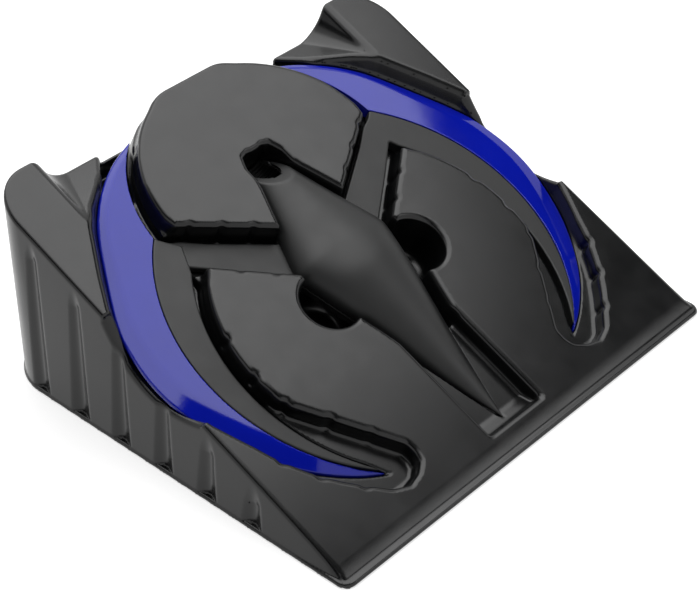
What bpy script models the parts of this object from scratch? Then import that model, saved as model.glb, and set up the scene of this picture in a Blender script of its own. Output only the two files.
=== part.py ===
"""Wedge display ramp: a thermoformed shell with a lift-out winged insert lying in its pockets.

World frame: X across, Y to the back, Z up, origin at the middle of the base. Most of the form is laid out
on the sloping face, in its own coordinates: u across, v up the slope from the face's front edge, and n
square to the face, so that n = 0 is the face and pockets go to negative n. The insert lifts out along +n.
"""
import math

import bmesh
import bpy
from mathutils import Matrix, Vector

MM = 0.001

# Ramp, overall
RAMP_WIDTH = 360.0 * MM
RAMP_DEPTH = 312.0 * MM
RAMP_ANGLE = math.radians(24.3)
FACE_LENGTH = 322.0 * MM
FRONT_LIP = 10.4 * MM
FACE_HEIGHT = 6.5 * MM
DRAFT = math.radians(1.8)
FRONT_BEVEL = math.radians(42.0)
BACK_CORNER = 26.0 * MM
FRONT_CORNER = 6.0 * MM
FACE_RIM = 4.0 * MM
WALL = 2.5 * MM
FLANGE_HEIGHT = 3.0 * MM
FLANGE_LEDGE = 2.5 * MM
FLOOR_HEIGHT = 2.9 * MM

# Pockets in the face
CUTTER_TOP = 6.0 * MM
RIM = 3.5 * MM
ROUND_STEP = 1.0 - math.cos(math.pi / 4)
POCKET_DRAFT = math.radians(4.0)
LEDGE_DEPTH = 13.0 * MM
NEST_GAP = 1.6 * MM
WING_MARGIN = 3.0 * MM
FLOOR_STEP = 0.5 * MM
NOTCH_RADIUS = 20.5 * MM
NOTCH_DEPTH = 36.0 * MM
NOTCH_U = 41.5 * MM
NOTCH_V = 140.7 * MM
CHANNEL_HALF = 25.0 * MM
CHANNEL_FRONT = 9.5 * MM
CHANNEL_FLARE_V = 92.0 * MM
CHANNEL_STEP_V = 84.0 * MM
CHANNEL_BACK = 258.0 * MM
HEAD_NOTCH_HALF = 15.2 * MM
HEAD_CENTRE_V = 234.6 * MM
HEAD_RADIUS = 94.0 * MM
DISC_CENTRE = Vector((14.0, 128.0)) * MM
DISC_RADIUS = 110.5 * MM
CRESCENT_END = Vector((90.5, 32.0)) * MM
CRESCENT_END_RADIUS = 14.0 * MM
CRESCENT_SIDE = Vector((20.0, 140.0)) * MM
CRESCENT_SIDE_RADIUS = 146.0 * MM
CRESCENT_HALF = 171.5 * MM
CRESCENT_MARGIN = 2.5 * MM
NEST_HALF = 173.4 * MM
SADDLE_FRONT = 118.0 * MM
SADDLE_BACK = 215.0 * MM
SADDLE_DEPTH = 20.0 * MM
SADDLE_SKEW = 0.95
SADDLE_POWER = 0.9
SADDLE_INNER = 150.0 * MM
SADDLE_RISE = 8.0 * MM
SHOULDER_INNER = 133.0 * MM
SHOULDER_SLANT = math.radians(31.8)
FACET_START = 274.0 * MM
FACET_FRONT_U = 108.0 * MM
FACET_BACK_U = 62.0 * MM
FACET_OVERRUN = 30.0 * MM
BACK_GAP_HEIGHT = 108.5 * MM
BACK_GAP_TOP = 160.0 * MM
GROOVE_RADIUS = 3.2 * MM
GROOVE_FOOT = 1.0 * MM
GROOVE_SET_BACK = 1.0 * MM
FLUTES = 6
FLUTE_RADIUS = 6.0 * MM
FLUTE_DEPTH = 4.0 * MM
FLUTE_BACK = 45.0 * MM
FLUTE_PITCH = 37.8 * MM
FLUTE_FOOT = 0.4 * MM

# Winged insert
GAP = 0.3 * MM
MID = -14.2 * MM
WING_THICK = 8.6 * MM
ARM_THICK = 5.0 * MM
TIP_V = 15.0 * MM
TIP_LIFT = 3.2 * MM
TIP_RUN = 45.0 * MM
TIP_RADIUS = 0.7 * MM
SPINDLE_END = 256.0 * MM
SPINDLE_WIDE_V = 168.0 * MM
SPINDLE_HALF = 44.0 * MM
SPINDLE_END_HALF = 10.5 * MM
SPINDLE_HIGH = 22.0 * MM
SPINDLE_NOSE_FULL = 1.3
SPINDLE_END_HIGH = 13.5 * MM
SPINDLE_FAIR = 8.0 * MM
SECTION_POWER = 1.5
MOUTH_TOP_V = 225.0 * MM
MOUTH_ANGLE = math.radians(33.0)
SLEEVE_RADIUS = 11.5 * MM
SLEEVE_WALL = 2.2 * MM
SLEEVE_STEP = 2.0 * MM
SLEEVE_BOTTOM_V = 198.0 * MM
SLEEVE_END_V = 246.0 * MM
WING_TIP = Vector((91.5, 30.5)) * MM
BAND_SIDE = Vector((129.0, 128.0)) * MM
BAND_END = Vector((99.0, 209.0)) * MM
SEAM_SIDE = Vector((147.0, 134.0)) * MM
SEAM_END = Vector((102.0, 243.0)) * MM
HORN_SIDE = Vector((91.0, 279.0)) * MM
HORN_TIP = Vector((59.0, 312.0)) * MM
EDGE_FRONT = Vector((155.5, 94.8)) * MM
EDGE_SIDE = Vector((174.0, 163.0)) * MM
EDGE_BACK = Vector((144.0, 246.0)) * MM
EDGE_FRONT_SHARE = 0.44
SEAM_SHARE = 0.77
BEVEL_WIDTH = 11.5 * MM
BEVEL_SHARE = 0.55
BLADE_EDGE = 0.6 * MM
BLADE_TIP_SHARE = 0.3
TONGUE_DEPTH = 5.0 * MM
TONGUE_THICK = 3.0 * MM
TONGUE_ROOT = 2.0 * MM
SCREW_SHANK = 1.6 * MM
SCREW_HEAD = 3.1 * MM
SCREW_HEAD_HIGH = 2.2 * MM
SCREW_BITE = 9.0 * MM
SCREW_RECESS = 2.0 * MM
SPINDLE_SCREWS = 3
SPINDLE_SCREW_FRONT = 95.0 * MM
SPINDLE_SCREW_PITCH = 30.0 * MM
ARM_SCREW = Vector((24.0, 178.0)) * MM
ARM_SCREW_SEAT = 8.5 * MM

# Face frame
FACE_ORIGIN = Vector((0.0, FRONT_LIP - RAMP_DEPTH / 2, FACE_HEIGHT))
FACE = Matrix.Translation(FACE_ORIGIN) @ Matrix.Rotation(RAMP_ANGLE, 4, "X")
LIFT_AXIS = FACE.to_3x3() @ Vector((0.0, 0.0, 1.0))


def clear_scene():
    """Remove whatever the file starts with."""
    for obj in list(bpy.data.objects):
        bpy.data.objects.remove(obj, do_unlink=True)


def collection(name):
    """A new collection linked to the scene."""
    made = bpy.data.collections.new(name)
    bpy.context.scene.collection.children.link(made)
    return made


def plastic(name, color, roughness):
    """A plain moulded plastic."""
    material = bpy.data.materials.new(name)
    material.use_nodes = True
    shader = material.node_tree.nodes["Principled BSDF"]
    shader.inputs["Base Color"].default_value = (*color, 1.0)
    shader.inputs["Roughness"].default_value = roughness
    return material


def steel(name):
    """Zinc plated steel for screws."""
    material = plastic(name, (0.55, 0.55, 0.57), 0.35)
    material.node_tree.nodes["Principled BSDF"].inputs["Metallic"].default_value = 1.0
    return material


def add_object(name, bm, target, material=None):
    """Turn a bmesh into a named object in a collection."""
    bmesh.ops.recalc_face_normals(bm, faces=bm.faces)
    if bm.calc_volume(signed=True) < 0.0:
        bmesh.ops.reverse_faces(bm, faces=bm.faces)
    mesh = bpy.data.meshes.new(name)
    bm.to_mesh(mesh)
    bm.free()
    obj = bpy.data.objects.new(name, mesh)
    target.objects.link(obj)
    if material:
        mesh.materials.append(material)
    else:
        obj.hide_render = True
        obj.display_type = "WIRE"
    return obj


def carry(empty, obj):
    """Parent an object to an empty without moving it."""
    obj.parent = empty
    obj.matrix_parent_inverse = empty.matrix_basis.inverted()


def boolean(obj, operation, other, solver="EXACT"):
    """Add a boolean with one object or with every object of a collection."""
    modifier = obj.modifiers.new(operation.lower(), "BOOLEAN")
    modifier.operation = operation
    modifier.solver = solver
    if isinstance(other, bpy.types.Collection):
        modifier.operand_type = "COLLECTION"
        modifier.collection = other
    else:
        modifier.object = other


def weld(obj):
    """Merge the points that a boolean leaves almost on each other."""
    modifier = obj.modifiers.new("weld", "WELD")
    modifier.merge_threshold = 0.05 * MM


def loft(bm, rings):
    """Skin a stack of rings with equal point counts and cap both ends."""
    layers = [[bm.verts.new(point) for point in ring] for ring in rings]
    count = len(layers[0])
    for low, high in zip(layers, layers[1:]):
        for i in range(count):
            j = (i + 1) % count
            bm.faces.new((low[i], low[j], high[j], high[i]))
    bm.faces.new(list(reversed(layers[0])))
    bm.faces.new(layers[-1])
    return bm


def on_face(point, n):
    """World position of a face point (u, v) at height n."""
    return FACE @ Vector((point[0], point[1], n))


def arc(centre, radius, start, end, steps):
    """Points along a circular arc, angles in degrees, both ends included."""
    angles = [math.radians(start + (end - start) * i / steps) for i in range(steps + 1)]
    return [Vector((centre[0] + radius * math.cos(a), centre[1] + radius * math.sin(a))) for a in angles]


def around(centre, radius, angles):
    """Single points on a circle, angles in degrees."""
    return [arc(centre, radius, angle, angle, 1)[0] for angle in angles]


def centre_of(first, middle, last):
    """Centre of the circle through three points."""
    p = middle - first
    q = last - first
    cross = 2.0 * (p.x * q.y - p.y * q.x)
    offset = Vector((q.y * p.length_squared - p.y * q.length_squared,
                     p.x * q.length_squared - q.x * p.length_squared)) / cross
    return first + offset


def arc_through(first, middle, last, steps):
    """Points along the circular arc through three points, both ends included."""
    centre = centre_of(first, middle, last)
    radius = (first - centre).length
    start = math.atan2(first.y - centre.y, first.x - centre.x)
    end = math.atan2(last.y - centre.y, last.x - centre.x)
    return arc(centre, radius, math.degrees(start), math.degrees(end), steps)


def points(*pairs):
    """Outline points given in millimetres."""
    return [Vector(pair) * MM for pair in pairs]


def mirrored(outline):
    """The same outline on the other side of the middle plane, still anticlockwise."""
    return [Vector((-p.x, p.y)) for p in reversed(outline)]


def grown(outline, distance):
    """An anticlockwise outline moved outward by a distance, corner by corner."""
    result = []
    count = len(outline)
    for i, point in enumerate(outline):
        before = (point - outline[i - 1]).normalized()
        after = (outline[(i + 1) % count] - point).normalized()
        normal_before = Vector((before.y, -before.x))
        normal_after = Vector((after.y, -after.x))
        bisector = (normal_before + normal_after).normalized()
        result.append(point + bisector * distance / max(bisector.dot(normal_before), 0.5))
    return result


def smooth_min(a, b, blend):
    """The smaller of two lengths, faired over where they cross."""
    middle = (a + b) / 2
    return middle - math.sqrt(((a - b) / 2) ** 2 + blend ** 2 / 4)


def trim(bm, point, normal):
    """Cut away the side that the normal points to and close the cut."""
    geometry = bm.verts[:] + bm.edges[:] + bm.faces[:]
    cut = bmesh.ops.bisect_plane(bm, geom=geometry, plane_co=point, plane_no=normal, clear_outer=True,
                                 dist=1e-7)
    rim = [item for item in cut["geom_cut"] if isinstance(item, bmesh.types.BMEdge)]
    if rim:
        bmesh.ops.contextual_create(bm, geom=rim)


def block(size, centre):
    """A box as a bmesh."""
    bm = bmesh.new()
    bmesh.ops.create_cube(bm, size=1.0, matrix=Matrix.Translation(centre) @ Matrix.Diagonal((*size, 1.0)))
    return bm


# Outlines of the pockets on the right half of the face

def crescent_outline():
    """Wide upper pocket over one wing, open to the back of the ramp."""
    front_end = arc(CRESCENT_END, CRESCENT_END_RADIUS, 170.0, 300.0, 5)
    outer_front = arc(CRESCENT_SIDE, CRESCENT_SIDE_RADIUS, -55.0, -20.0, 6)
    outer_side = points((169.5, 118.0))
    outer_side += [Vector((CRESCENT_HALF, 135.0 * MM)), Vector((CRESCENT_HALF, 185.0 * MM))]
    outer_back = grown(edge_arc(16), CRESCENT_MARGIN)[9:13]
    back_gap = points((131.0, 273.0), (88.0, 318.0), (70.0, 340.0), (20.0, 340.0), (24.0, 327.0), (33.0, 321.8))
    head = arc((0.0, HEAD_CENTRE_V), HEAD_RADIUS, 62.0, 8.0, 6)
    across_arm = points((91.0, 238.0), (93.0, 206.0))
    half_disc = arc(DISC_CENTRE, DISC_RADIUS, 40.0, -14.0, 7)
    return front_end + outer_front + outer_side + outer_back + back_gap + head + across_arm + half_disc


def arm_outline():
    """Slot between the head plateau and the half disc, from the spindle channel to the crescent."""
    return points((30.0, 153.0), (110.0, 215.0), (113.9, 254.6), (15.9, 191.1))


def channel_outline():
    """Spindle channel with the notch in the head plateau, both halves."""
    right = [Vector((CHANNEL_HALF, CHANNEL_STEP_V)), Vector((CHANNEL_HALF, CHANNEL_FLARE_V))]
    right += points((29.0, 107.0), (33.0, 120.0), (44.0, 164.0), (31.5, 204.0))
    right += [Vector((HEAD_NOTCH_HALF, CHANNEL_BACK))]
    return right + mirrored(right)


def channel_front_outline():
    """Shallow front end of the spindle channel, both halves."""
    right = [Vector((CHANNEL_HALF, CHANNEL_FRONT)), Vector((CHANNEL_HALF, CHANNEL_FLARE_V))]
    return right + mirrored(right)


def notch_outline():
    """Round finger notch."""
    return arc((NOTCH_U, NOTCH_V), NOTCH_RADIUS, 0.0, 345.0, 23)


def edge_arc(steps):
    """Outer edge of the blade, front to back, as two arcs."""
    front = round(steps * EDGE_FRONT_SHARE)
    edge = arc_through(WING_TIP, EDGE_FRONT, EDGE_SIDE, front)
    return edge + arc_through(EDGE_SIDE, EDGE_BACK, HORN_TIP, steps - front)[1:]


def nest_outline():
    """Close-fitting lower recess under one blade and its band."""
    horn = arc_through(HORN_TIP, HORN_SIDE, SEAM_END, 5)
    band = arc_through(BAND_END, BAND_SIDE, WING_TIP, 9)
    outline = grown(edge_arc(16) + horn[1:] + band[:-1], WING_MARGIN)
    return [Vector((min(p.x, NEST_HALF), p.y)) for p in outline]


def back_gap_outline():
    """Level floor behind one horn, seen from above, in world metres."""
    return points((113.0, 125.5), (88.0, 150.4), (84.0, 175.0), (30.0, 175.0), (44.0, 150.0), (60.0, 140.3),
                  (76.0, 125.5))


def pocket(name, outline, depth, grow, rim, target):
    """Cutter for a formed pocket: rounded rim, drafted wall and flat floor, grown for the skin's inside."""
    taper = math.tan(POCKET_DRAFT)
    levels = [(CUTTER_TOP, rim)]
    if rim > 0.0:
        levels += [(0.0, rim), (-ROUND_STEP * rim, ROUND_STEP * rim), (-rim, 0.0)]
    levels.append((-depth, -taper * (depth - rim)))
    rings = []
    for n, spread in levels:
        shifted = n if n > 0.0 else n - grow
        rings.append([on_face(p, shifted) for p in grown(outline, spread + grow)])
    bm = loft(bmesh.new(), rings)
    if grow == 0.0:
        trim(bm, Vector((0.0, 0.0, FLOOR_HEIGHT)), Vector((0.0, 0.0, -1.0)))
    return add_object(name, bm, target)


def saddle(name, side, grow, target):
    """Smooth dip in one side edge, under the widest part of the blade."""
    steps = 10
    profile = []
    for i in range(steps + 1):
        t = i / steps
        v = SADDLE_FRONT + (SADDLE_BACK - SADDLE_FRONT) * t
        n = -SADDLE_DEPTH * math.sin(math.pi * t ** SADDLE_SKEW) ** SADDLE_POWER
        profile.append(Vector((v, n)))
    profile.append(Vector((SADDLE_BACK + 2 * SADDLE_RISE, SADDLE_RISE)))
    profile.append(Vector((SADDLE_FRONT - 2 * SADDLE_RISE, SADDLE_RISE)))
    profile = grown(profile, grow)
    spread = (SADDLE_INNER - grow, RAMP_WIDTH / 2 + SADDLE_RISE)
    rings = [[FACE @ Vector((side * u, p.x, p.y)) for p in profile] for u in spread]
    return add_object(name, loft(bmesh.new(), rings), target)


def facet(name, side, grow, target):
    """Cutter that leaves a level facet behind the shoulder's inner edge."""
    back = FACE_LENGTH + FACET_OVERRUN
    drop = math.tan(RAMP_ANGLE) * (back - FACET_START)
    outer = SHOULDER_INNER + grow
    rings = []
    for v, depth, inner in ((FACET_START, 0.0, FACET_FRONT_U - grow), (back, drop, FACET_BACK_U - grow)):
        slant = math.tan(SHOULDER_SLANT) * depth
        section = ((inner, CUTTER_TOP), (outer, CUTTER_TOP), (outer, 0.0), (outer - slant, -depth - grow),
                   (inner, -depth - grow))
        rings.append([FACE @ Vector((side * u, v - grow, n)) for u, n in section])
    bm = loft(bmesh.new(), rings)
    bmesh.ops.remove_doubles(bm, verts=bm.verts, dist=1e-6)
    return add_object(name, bm, target)


def back_gap(name, turn, grow, target):
    """Cutter that levels the pocket's floor behind one horn."""
    outline = grown(turn(back_gap_outline()), grow)
    rings = [[Vector((p.x, p.y, z)) for p in outline] for z in (BACK_GAP_TOP, BACK_GAP_HEIGHT - grow)]
    return add_object(name, loft(bmesh.new(), rings), target)


def spaced(first, last, count):
    """Evenly spaced points between two places given in millimetres."""
    ends = points(first, last)
    return [ends[0].lerp(ends[1], i / (count - 1)) for i in range(count)]


def groove_places():
    """Half-round stiffening grooves on the right half's pocket walls, set back into the plateaus."""
    head_front = spaced((80.5, 234.2), (44.5, 210.8), 3)
    disc_back = spaced((77.6, 188.7), (58.6, 174.0), 2)
    disc_side = around(DISC_CENTRE, DISC_RADIUS - GROOVE_SET_BACK, (15.4, -0.5, -13.9))
    disc_front = spaced((104.3, 77.8), (89.2, 55.0), 2)
    pocket_side = around(CRESCENT_SIDE, CRESCENT_SIDE_RADIUS + GROOVE_SET_BACK, (-26.8, -36.6, -48.0))
    return head_front + disc_back + disc_side + disc_front + pocket_side


def groove(name, side, place, grow, target):
    """Cutter for one stiffening groove, square to the face."""
    outline = arc((side * place.x, place.y), GROOVE_RADIUS + grow, 0.0, 315.0, 7)
    bm = prism(outline, GROOVE_FOOT - LEDGE_DEPTH - grow, CUTTER_TOP)
    if grow == 0.0:
        trim(bm, Vector((0.0, 0.0, FLOOR_HEIGHT + GROOVE_FOOT)), Vector((0.0, 0.0, -1.0)))
    return add_object(name, bm, target)


def flute(name, side, index, grow, target):
    """Tapered flute on a side wall, from a point at the wall's top edge to the flange."""
    y = RAMP_DEPTH / 2 - FLUTE_BACK - FLUTE_PITCH * index
    v = (y - FACE_ORIGIN.y) / math.cos(RAMP_ANGLE)
    top = on_face((0.0, v), 0.0).z + grow
    foot = FLANGE_HEIGHT + FLUTE_FOOT - grow
    wall_foot = RAMP_WIDTH / 2 - FLANGE_LEDGE
    lean = math.tan(DRAFT)
    radius = FLUTE_RADIUS + grow
    rings = []
    for z, scale in ((foot, 1.0), (top, 0.05)):
        x = wall_foot - lean * (z - FLANGE_HEIGHT) + (FLUTE_RADIUS - FLUTE_DEPTH) * scale
        reach = radius * scale + (0.0 if scale == 1.0 else grow * 0.5)
        ring = []
        for i in range(10):
            turn = 2 * math.pi * i / 10
            ring.append(Vector((side * (x + reach * math.cos(turn)), y + reach * math.sin(turn), z)))
        rings.append(ring)
    return add_object(name, loft(bmesh.new(), rings), target)


def wedge(name, inset, foot, target, material=None):
    """The ramp's plain wedge, every side moved in by inset."""
    base_half = RAMP_WIDTH / 2 - FLANGE_LEDGE
    back = RAMP_DEPTH / 2 - FLANGE_LEDGE
    tall = 200.0 * MM
    bm = block((RAMP_WIDTH * 1.2, RAMP_DEPTH * 1.2, tall), Vector((0.0, 0.0, tall / 2 + foot)))
    upright = Vector((math.cos(DRAFT), 0.0, math.sin(DRAFT)))
    for side in (1.0, -1.0):
        normal = Vector((side * upright.x, 0.0, upright.z))
        trim(bm, Vector((side * base_half, 0.0, FLANGE_HEIGHT)) - normal * inset, normal)
    normal = Vector((0.0, upright.x, upright.z))
    trim(bm, Vector((0.0, back, FLANGE_HEIGHT)) - normal * inset, normal)
    corners = []
    for edge in bm.edges:
        middle = (edge.verts[0].co + edge.verts[1].co) / 2
        tall_edge = abs(edge.verts[0].co.z - edge.verts[1].co.z) > tall / 2
        if tall_edge and middle.y > 0:
            corners.append(edge)
    bmesh.ops.bevel(bm, geom=corners, offset=BACK_CORNER - inset, segments=5, profile=0.5, affect="EDGES")
    trim(bm, FACE_ORIGIN - LIFT_AXIS * inset, LIFT_AXIS)
    front = Vector((0.0, -math.sin(FRONT_BEVEL), math.cos(FRONT_BEVEL)))
    trim(bm, FACE_ORIGIN - front * inset, front)
    if inset == 0.0:
        rim_edges = []
        for edge in bm.edges:
            heights = [(vert.co - FACE_ORIGIN).dot(LIFT_AXIS) for vert in edge.verts]
            on_top = max(abs(h) for h in heights) < 1e-5
            behind_front = max(vert.co.y for vert in edge.verts) > FACE_ORIGIN.y + 1e-3
            if on_top and behind_front:
                rim_edges.append(edge)
        bmesh.ops.bevel(bm, geom=rim_edges, offset=FACE_RIM, segments=3, profile=0.5, affect="EDGES",
                        clamp_overlap=True)
        bmesh.ops.remove_doubles(bm, verts=bm.verts, dist=1e-5)
    return add_object(name, bm, target, material)


def flange(name, target):
    """Thin foot around the base."""
    bm = block((RAMP_WIDTH, RAMP_DEPTH, FLANGE_HEIGHT), Vector((0.0, 0.0, FLANGE_HEIGHT / 2)))
    for radius, rear in ((BACK_CORNER + FLANGE_LEDGE, True), (FRONT_CORNER, False)):
        uprights = []
        for edge in bm.edges:
            low, high = edge.verts
            straight = (low.co - high.co).xy.length < 1e-6
            if straight and (low.co.y > 0) == rear and abs(abs(low.co.x) - RAMP_WIDTH / 2) < 1e-6:
                uprights.append(edge)
        bmesh.ops.bevel(bm, geom=uprights, offset=radius, segments=5, profile=0.5, affect="EDGES")
    return add_object(name, bm, target)


def pocket_set(label, grow, target):
    """Every cutter of the formed face and sides, for the outside (grow 0) or the inside of the skin."""
    nest_depth = -MID + WING_THICK / 2 + GAP
    for side, tag in ((1.0, "right"), (-1.0, "left")):
        turn = (lambda outline: outline) if side > 0 else mirrored
        pocket(f"{label}_crescent_{tag}", turn(crescent_outline()), LEDGE_DEPTH, grow, RIM, target)
        pocket(f"{label}_nest_{tag}", turn(nest_outline()), nest_depth, grow, 0.0, target)
        pocket(f"{label}_arm_{tag}", turn(arm_outline()), nest_depth + FLOOR_STEP, grow, RIM, target)
        pocket(f"{label}_notch_{tag}", turn(notch_outline()), NOTCH_DEPTH, grow, RIM, target)
        saddle(f"{label}_saddle_{tag}", side, grow, target)
        facet(f"{label}_facet_{tag}", side, grow, target)
        back_gap(f"{label}_back_gap_{tag}", turn, grow, target)
        for index, place in enumerate(groove_places()):
            groove(f"{label}_groove_{tag}_{index}", side, place, grow, target)
        for index in range(FLUTES):
            flute(f"{label}_flute_{tag}_{index}", side, index, grow, target)
    pocket(f"{label}_channel", channel_outline(), nest_depth + 2 * FLOOR_STEP, grow, RIM, target)
    pocket(f"{label}_channel_front", channel_front_outline(), LEDGE_DEPTH - FLOOR_STEP, grow, RIM, target)
    add_object(f"{label}_spindle_nest", spindle_body(NEST_GAP + grow), target)


# Winged insert

def spindle_section(v):
    """Half width, half height and axis height of the spindle at v."""
    rise = (v - TIP_V) / (SPINDLE_WIDE_V - TIP_V)
    fall = (SPINDLE_END - v) / (SPINDLE_END - SPINDLE_WIDE_V)
    tail_half = SPINDLE_END_HALF + (SPINDLE_HALF - SPINDLE_END_HALF) * fall
    tail_high = SPINDLE_END_HIGH + (SPINDLE_HIGH - SPINDLE_END_HIGH) * fall
    half = smooth_min(SPINDLE_HALF * rise, tail_half, SPINDLE_FAIR)
    high = smooth_min(SPINDLE_NOSE_FULL * SPINDLE_HIGH * rise, tail_high, SPINDLE_FAIR)
    lift = TIP_LIFT * max(0.0, 1.0 - (v - TIP_V) / TIP_RUN)
    return max(half, TIP_RADIUS), max(high, TIP_RADIUS), MID + lift


def spindle_body(grow):
    """The whole spindle before it is split, its surface moved out by grow."""
    stations = [TIP_V - grow] + [TIP_V + f * (SPINDLE_END - TIP_V) for f in
                                 (0.0, 0.06, 0.16, 0.28, 0.42, 0.54, 0.61, 0.64, 0.67, 0.73, 0.82, 0.91)]
    stations.append(SPINDLE_END + grow)
    sides = 20
    power = 2.0 / SECTION_POWER
    rings = []
    for v in stations:
        half, high, axis = spindle_section(min(max(v, TIP_V), SPINDLE_END))
        ring = []
        for i in range(sides):
            turn = 2 * math.pi * i / sides
            c = math.cos(turn)
            s = math.sin(turn)
            u = math.copysign(abs(c) ** power, c) * (half + grow)
            n = math.copysign(abs(s) ** power, s) * (high + grow)
            ring.append(FACE @ Vector((u, v, axis + n)))
        rings.append(ring)
    return loft(bmesh.new(), rings)


def face_plane(v, n, tilt):
    """A point and normal of the sloping mouth cut, tilted from the face's own normal."""
    normal = FACE.to_3x3() @ Vector((0.0, math.sin(tilt), math.cos(tilt)))
    return on_face((0.0, v), n), normal


def along_v(radius, start, end, sides=20):
    """A round bar along the spindle's axis."""
    rings = []
    for v in (start, end):
        ring = []
        for i in range(sides):
            turn = 2 * math.pi * i / sides
            ring.append(FACE @ Vector((radius * math.cos(turn), v, MID + radius * math.sin(turn))))
        rings.append(ring)
    return loft(bmesh.new(), rings)


def spindle_half(name, upper, cutters, target, material):
    """One half of the spindle, cut at the mouth."""
    bm = spindle_body(0.0)
    point, normal = face_plane(MOUTH_TOP_V, spindle_top(MOUTH_TOP_V), MOUTH_ANGLE)
    trim(bm, point, normal)
    split = -LIFT_AXIS if upper else LIFT_AXIS
    trim(bm, on_face((0.0, 0.0), MID) - split * GAP / 2, split)
    obj = add_object(name, bm, target, material)
    boolean(obj, "DIFFERENCE", cutters)
    return obj


def spindle_top(v):
    """Height of the spindle's crest at v."""
    half, high, axis = spindle_section(v)
    return axis + high


def socket_sleeve(target, cutters, material):
    """Ringed liner in the spindle's mouth."""
    bm = along_v(SLEEVE_RADIUS - GAP, SLEEVE_BOTTOM_V + GAP, SPINDLE_END)
    point, normal = face_plane(MOUTH_TOP_V, spindle_top(MOUTH_TOP_V) - SLEEVE_STEP, MOUTH_ANGLE)
    trim(bm, point, normal)
    trim(bm, on_face((0.0, SLEEVE_END_V), MID), FACE.to_3x3() @ Vector((0.0, 1.0, 0.0)))
    obj = add_object("socket_sleeve", bm, target, material)
    bottom = SLEEVE_BOTTOM_V + 2 * SLEEVE_WALL
    bore = along_v(SLEEVE_RADIUS - SLEEVE_WALL, bottom, SPINDLE_END + SLEEVE_RADIUS)
    boolean(obj, "DIFFERENCE", add_object("sleeve_bore", bore, cutters))
    return obj


def turned_over(bm, side):
    """The left wing is the right one turned half way round the spindle's axis."""
    if side < 0:
        axis = FACE @ Vector((0.0, 0.0, MID))
        along = (FACE.to_3x3() @ Vector((0.0, 1.0, 0.0))).normalized()
        spin = Matrix.Translation(axis) @ Matrix.Rotation(math.pi, 4, along) @ Matrix.Translation(-axis)
        bmesh.ops.transform(bm, matrix=spin, verts=bm.verts)
    return bm


def prism(outline, low, high):
    """An outline on the face extruded between two heights."""
    return loft(bmesh.new(), [[on_face(p, n) for p in outline] for n in (low, high)])


def arm_plan(grow):
    """Plan of one arm, from inside the spindle to inside the band."""
    front = points((27.0, 164.5), (42.0, 173.0), (72.0, 196.0), (97.0, 216.5), (114.0, 222.0))
    back = points((103.0, 240.5), (86.7, 233.5), (72.7, 223.0), (29.7, 195.5), (13.7, 186.5))
    return grown(front + back, grow)


def seam_arc(steps):
    """Seam between the band and the blade, front to back."""
    return arc_through(WING_TIP, SEAM_SIDE, SEAM_END, steps)


def band_plan():
    """Plan of the crescent band between its inner edge and the seam with the blade."""
    outer = grown(seam_arc(14), -GAP)[1:-1]
    inner = arc_through(BAND_END, BAND_SIDE, WING_TIP, 12)
    return outer + points((100.0, 240.0), (90.0, 228.5)) + inner[:-1]


def tongue_plan(grow):
    """Plan of the blade's tongue that seats in the band's outer edge."""
    seam = seam_arc(16)[4:13]
    inner = grown(seam_arc(16), -TONGUE_DEPTH - grow)[4:13]
    centre = centre_of(WING_TIP, SEAM_SIDE, SEAM_END)
    outer = [point + (point - centre).normalized() * TONGUE_ROOT for point in seam]
    return outer + list(reversed(inner))


def wing_frame(tag, side, cutters, target, material):
    """Black crescent band with its arm."""
    top = MID + WING_THICK / 2
    band = add_object(f"wing_frame_{tag}", turned_over(prism(band_plan(), MID - WING_THICK / 2, top), side),
                      target, material)
    arm = turned_over(prism(arm_plan(0.0), top - ARM_THICK, top), side)
    boolean(band, "UNION", add_object(f"arm_{tag}", arm, cutters))
    reach = TONGUE_THICK / 2 + GAP
    slot = turned_over(prism(tongue_plan(GAP), MID - reach, MID + reach), side)
    boolean(band, "DIFFERENCE", add_object(f"tongue_slot_{tag}", slot, cutters))
    return band


def blade(tag, side, cutters, target, material):
    """Blue crescent blade with a bevelled outer edge, a swept horn and a tongue for the band."""
    steps = 24
    corner = round(steps * SEAM_SHARE)
    seam = arc_through(WING_TIP, SEAM_SIDE, SEAM_END, corner)
    horn = arc_through(SEAM_END, HORN_SIDE, HORN_TIP, steps - corner)
    rings = []
    for edge, inner in list(zip(edge_arc(steps), seam + horn[1:]))[1:-1]:
        width = (edge - inner).length
        ridge = edge + (inner - edge) * min(BEVEL_WIDTH / width, BEVEL_SHARE)
        full = BLADE_TIP_SHARE + (1.0 - BLADE_TIP_SHARE) * width / BEVEL_WIDTH
        half = WING_THICK / 2 * min(1.0, full)
        section = ((inner, -half), (ridge, -half), (edge, -BLADE_EDGE / 2),
                   (edge, BLADE_EDGE / 2), (ridge, half), (inner, half))
        rings.append([on_face(point, MID + n) for point, n in section])
    obj = add_object(f"blade_{tag}", turned_over(loft(bmesh.new(), rings), side), target, material)
    tongue = turned_over(prism(tongue_plan(0.0), MID - TONGUE_THICK / 2, MID + TONGUE_THICK / 2), side)
    boolean(obj, "UNION", add_object(f"tongue_{tag}", tongue, cutters))
    return obj


def fastener(bm, centre, levels):
    """Add a turned fastener along n to a bmesh: levels are (n, radius) pairs."""
    rings = []
    for n, radius in levels:
        rings.append([on_face(p, n) for p in arc(centre, radius, 0.0, 330.0, 11)])
    loft(bm, rings)


def screw_levels(seat, top, clearance, recess):
    """A pan-head screw driven up from below, or the counterbored hole for it."""
    head = SCREW_HEAD + clearance
    shank = SCREW_SHANK + clearance
    return [(seat - SCREW_HEAD_HIGH - recess, head), (seat + clearance, head), (seat + clearance, shank),
            (top + clearance, shank)]


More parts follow.
